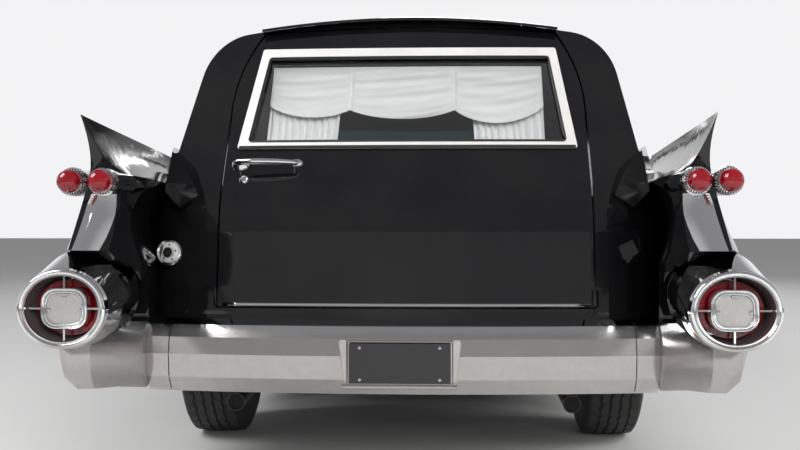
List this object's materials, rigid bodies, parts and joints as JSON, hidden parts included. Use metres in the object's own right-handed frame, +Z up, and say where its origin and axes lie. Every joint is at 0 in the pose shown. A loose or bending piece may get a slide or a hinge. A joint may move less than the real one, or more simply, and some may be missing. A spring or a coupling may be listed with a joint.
{
  "type": "finned funeral coach, late-1950s long-wheelbase hearse",
  "caption": "Long black hearse with tall tail fins, twin bullet lamps, chromed bumper-end nacelles, draped windows, opening doors and rolling, steering wheels.",
  "frame": {"origin": "on the ground under the middle of the car's length and width", "axes": "+Y the way the car drives, +X the car's right side, +Z up"},
  "size_m": [2.037, 6.3749, 1.7231],
  "materials": {
    "black_paint": "gloss",
    "chrome": "polished",
    "clear_glass": "polished",
    "red_lens": "gloss",
    "pale_lens": "gloss",
    "lamp_glass": "polished",
    "tyre_rubber": "matte",
    "wheel_cover": "polished",
    "satin_trim": "satin",
    "curtain_satin": "satin",
    "seat_cloth": "satin",
    "cabin_trim": "matte",
    "deck_board": "satin",
    "roller_steel": "brushed",
    "frame_black": "satin",
    "underbody": "matte",
    "iron": "rough",
    "exhaust_steel": "brushed"
  },
  "bodies": {
    "root": {"roof": "black_paint", "windshield": "clear_glass", "quarter_left": "black_paint", "quarter_right": "black_paint", "quarter_glass": "clear_glass", "side_curtains": "curtain_satin", "roof_visor": "black_paint", "cowl": "black_paint", "nose_panel": "black_paint", "fender_left": "black_paint", "fender_right": "black_paint", "grille": "chrome", "headlamps": "lamp_glass", "front_bumper": "chrome", "rear_bumper": "chrome", "bumper_end_left": "chrome", "bumper_end_right": "chrome", "reversing_lenses": "pale_lens", "reflectors": "red_lens", "tail_lamp_pods": "chrome", "tail_lamp_lenses": "red_lens", "lock_cap": "chrome", "chassis_frame": "frame_black", "front_suspension": "iron", "rear_axle": "iron", "propeller_shaft": "iron", "exhausts": "exhaust_steel", "fuel_tank": "exhaust_steel", "engine": "iron", "floor_pan": "underbody", "load_deck": "deck_board", "deck_rollers": "roller_steel", "centre_pillars": "black_paint", "front_seat": "seat_cloth", "dashboard": "cabin_trim", "steering_wheel": "cabin_trim"},
    "rear_door": {"rear_door": "black_paint", "rear_door_glass": "clear_glass", "rear_window_frame": "satin_trim", "rear_curtains": "curtain_satin", "rear_door_handle": "chrome"},
    "hood": {"hood": "black_paint"},
    "front_door_left": {"front_door_left": "black_paint", "front_door_glass_left": "clear_glass"},
    "side_door_left": {"side_door_left": "black_paint", "side_door_glass_left": "clear_glass"},
    "knuckle_left": {"knuckle_left": "iron"},
    "wheel_front_left": {"tyre_front_left": "tyre_rubber", "rim_front_left": "wheel_cover"},
    "wheel_rear_left": {"tyre_rear_left": "tyre_rubber", "rim_rear_left": "wheel_cover"},
    "front_door_right": {"front_door_right": "black_paint", "front_door_glass_right": "clear_glass"},
    "side_door_right": {"side_door_right": "black_paint", "side_door_glass_right": "clear_glass"},
    "knuckle_right": {"knuckle_right": "iron"},
    "wheel_front_right": {"tyre_front_right": "tyre_rubber", "rim_front_right": "wheel_cover"},
    "wheel_rear_right": {"tyre_rear_right": "tyre_rubber", "rim_rear_right": "wheel_cover"}
  },
  "joints": [
    {"name": "steer_left", "type": "hinge", "parent": "root", "child": "knuckle_left", "pos_m": [-0.612, 2.312, 0.385], "axis": [0, 0, 1], "range_deg": [-32, 32]},
    {"name": "steer_right", "type": "hinge", "parent": "root", "child": "knuckle_right", "pos_m": [0.612, 2.312, 0.385], "axis": [0, 0, 1], "range_deg": [-32, 32]},
    {"name": "roll_front_left", "type": "hinge", "parent": "knuckle_left", "child": "wheel_front_left", "pos_m": [-0.7745, 2.312, 0.385], "axis": [-1, 0, 0], "continuous": true},
    {"name": "roll_rear_left", "type": "hinge", "parent": "root", "child": "wheel_rear_left", "pos_m": [-0.7745, -1.65, 0.385], "axis": [-1, 0, 0], "continuous": true},
    {"name": "front_door_left_swing", "type": "hinge", "parent": "root", "child": "front_door_left", "pos_m": [-1.003, 1.25, 0.65], "axis": [0, 0, -1], "range_deg": [0, 65]},
    {"name": "side_door_left_swing", "type": "hinge", "parent": "root", "child": "side_door_left", "pos_m": [-1.003, -0.77, 0.65], "axis": [0, 0, 1], "range_deg": [0, 65]},
    {"name": "roll_front_right", "type": "hinge", "parent": "knuckle_right", "child": "wheel_front_right", "pos_m": [0.7745, 2.312, 0.385], "axis": [-1, 0, 0], "continuous": true},
    {"name": "roll_rear_right", "type": "hinge", "parent": "root", "child": "wheel_rear_right", "pos_m": [0.7745, -1.65, 0.385], "axis": [-1, 0, 0], "continuous": true},
    {"name": "front_door_right_swing", "type": "hinge", "parent": "root", "child": "front_door_right", "pos_m": [1.003, 1.25, 0.65], "axis": [0, 0, 1], "range_deg": [0, 65]},
    {"name": "side_door_right_swing", "type": "hinge", "parent": "root", "child": "side_door_right", "pos_m": [1.003, -0.77, 0.65], "axis": [0, 0, -1], "range_deg": [0, 65]},
    {"name": "rear_door_swing", "type": "hinge", "parent": "root", "child": "rear_door", "pos_m": [0.62, -2.527, 0.605], "axis": [0, 0, 1], "range_deg": [0, 90]},
    {"name": "hood_lift", "type": "hinge", "parent": "root", "child": "hood", "pos_m": [0, 1.71, 1.01], "axis": [1, 0, 0], "range_deg": [0, 50]}
  ],
  "couplings": [
    {"joint": "steer_right", "follows": "steer_left", "ratio": 1}
  ]
}
